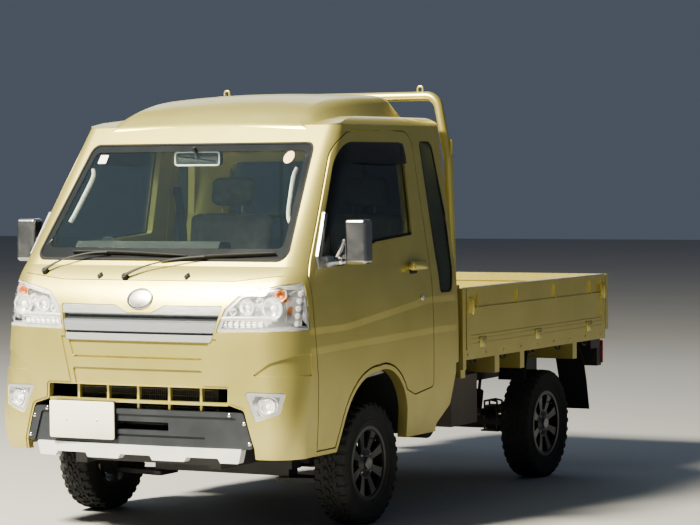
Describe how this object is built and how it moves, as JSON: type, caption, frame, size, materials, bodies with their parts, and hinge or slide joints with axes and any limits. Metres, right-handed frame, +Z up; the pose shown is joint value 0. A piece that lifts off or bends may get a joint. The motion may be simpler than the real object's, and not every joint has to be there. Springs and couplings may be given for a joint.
{
  "type": "kei truck",
  "caption": "Small cab-over pickup truck with an extended two-seat cab and a short drop-side load bed.",
  "frame": {"origin": "middle of the overall box on the ground plane, under the tyres", "axes": "-Y towards the nose, +X towards the vehicle's left side, +Z up"},
  "size_m": [1.748, 3.395, 1.906],
  "materials": {
    "body_paint": "metallic gold beige",
    "frame_black": "satin black",
    "floor_grey": "dark grey mat over paint",
    "clear_glass": "clear, faint green tint",
    "lamp_lens": "clear lamp lens",
    "bright_trim": "bright chrome",
    "black_plastic": "textured black",
    "skid_silver": "silver",
    "seat_cloth": "woven dark grey",
    "engine_iron": "plain",
    "tank_black": "satin black",
    "exhaust_steel": "dull steel",
    "flap_rubber": "matte",
    "lamp_red": "red",
    "wheel_dark": "dark painted alloy",
    "tyre_rubber": "black"
  },
  "bodies": {
    "root": {"chassis_frame": "frame_black", "cab_floor": "floor_grey", "side_panel_left": "body_paint", "side_panel_right": "body_paint", "roof_panel": "body_paint", "rear_wall": "body_paint", "front_panel": "body_paint", "cowl": "body_paint", "windscreen": "clear_glass", "cab_windows": "clear_glass", "front_bumper": "body_paint", "grille": "bright_trim", "intake_grid": "black_plastic", "lower_guard": "black_plastic", "skid_bar": "skid_silver", "headlamps": "bright_trim", "headlamp_lenses": "lamp_lens", "fog_lamps": "bright_trim", "dashboard": "black_plastic", "seat_left": "seat_cloth", "seat_right": "seat_cloth", "steering_column": "black_plastic", "wipers": "black_plastic", "engine": "engine_iron", "drive_line": "frame_black", "fuel_tank": "tank_black", "exhaust": "exhaust_steel", "battery_box": "black_plastic", "rear_axle": "frame_black", "leaf_springs": "frame_black", "front_suspension": "frame_black", "steering_rack": "frame_black", "arch_liners": "black_plastic", "mud_flaps": "flap_rubber", "bed_floor": "body_paint", "headboard": "body_paint", "tail_lamps": "lamp_red"},
    "door_left": {"door_left": "body_paint", "door_glass_left": "clear_glass", "mirror_left": "bright_trim"},
    "side_gate_left": {"side_gate_left": "body_paint"},
    "knuckle_left": {"knuckle_left": "frame_black"},
    "wheel_front_left": {"rim_front_left": "wheel_dark", "tyre_front_left": "tyre_rubber"},
    "wheel_rear_left": {"rim_rear_left": "wheel_dark", "tyre_rear_left": "tyre_rubber"},
    "door_right": {"door_right": "body_paint", "door_glass_right": "clear_glass", "mirror_right": "bright_trim"},
    "side_gate_right": {"side_gate_right": "body_paint"},
    "knuckle_right": {"knuckle_right": "frame_black"},
    "wheel_front_right": {"rim_front_right": "wheel_dark", "tyre_front_right": "tyre_rubber"},
    "wheel_rear_right": {"rim_rear_right": "wheel_dark", "tyre_rear_right": "tyre_rubber"},
    "tailgate": {"tailgate": "body_paint"},
    "steering_wheel": {"steering_wheel": "black_plastic"}
  },
  "joints": [
    {"name": "steer_left", "type": "hinge", "parent": "root", "child": "knuckle_left", "pos_m": [0.6, -0.946, 0.196], "axis": [-0.2676, 0, 0.9635], "range_deg": [-32, 32]},
    {"name": "steer_right", "type": "hinge", "parent": "root", "child": "knuckle_right", "pos_m": [-0.6, -0.946, 0.196], "axis": [0.2676, 0, 0.9635], "range_deg": [-32, 32]},
    {"name": "steering_wheel_turn", "type": "hinge", "parent": "root", "child": "steering_wheel", "pos_m": [-0.345, -1.08, 1.062], "axis": [0, 0.6157, 0.788], "range_deg": [-520, 520]},
    {"name": "wheel_front_left_spin", "type": "hinge", "parent": "knuckle_left", "child": "wheel_front_left", "pos_m": [0.645, -0.946, 0.264], "axis": [1, 0, 0], "continuous": true},
    {"name": "wheel_rear_left_spin", "type": "hinge", "parent": "root", "child": "wheel_rear_left", "pos_m": [0.645, 0.954, 0.264], "axis": [1, 0, 0], "continuous": true},
    {"name": "door_left_open", "type": "hinge", "parent": "root", "child": "door_left", "pos_m": [0.7385, -1.447, 0.9], "axis": [0, 0, -1], "range_deg": [0, 65]},
    {"name": "side_gate_left_drop", "type": "hinge", "parent": "root", "child": "side_gate_left", "pos_m": [0.732, 0.8, 0.684], "axis": [0, 1, 0], "range_deg": [0, 175]},
    {"name": "wheel_front_right_spin", "type": "hinge", "parent": "knuckle_right", "child": "wheel_front_right", "pos_m": [-0.645, -0.946, 0.264], "axis": [1, 0, 0], "continuous": true},
    {"name": "wheel_rear_right_spin", "type": "hinge", "parent": "root", "child": "wheel_rear_right", "pos_m": [-0.645, 0.954, 0.264], "axis": [1, 0, 0], "continuous": true},
    {"name": "door_right_open", "type": "hinge", "parent": "root", "child": "door_right", "pos_m": [-0.7385, -1.447, 0.9], "axis": [0, 0, 1], "range_deg": [0, 65]},
    {"name": "side_gate_right_drop", "type": "hinge", "parent": "root", "child": "side_gate_right", "pos_m": [-0.732, 0.8, 0.684], "axis": [0, -1, 0], "range_deg": [0, 175]},
    {"name": "tailgate_drop", "type": "hinge", "parent": "root", "child": "tailgate", "pos_m": [0, 1.6955, 0.684], "axis": [-1, 0, 0], "range_deg": [0, 175]}
  ],
  "couplings": [
    {"joint": "steer_right", "follows": "steer_left", "ratio": 1},
    {"joint": "steering_wheel_turn", "follows": "steer_left", "ratio": 16}
  ]
}
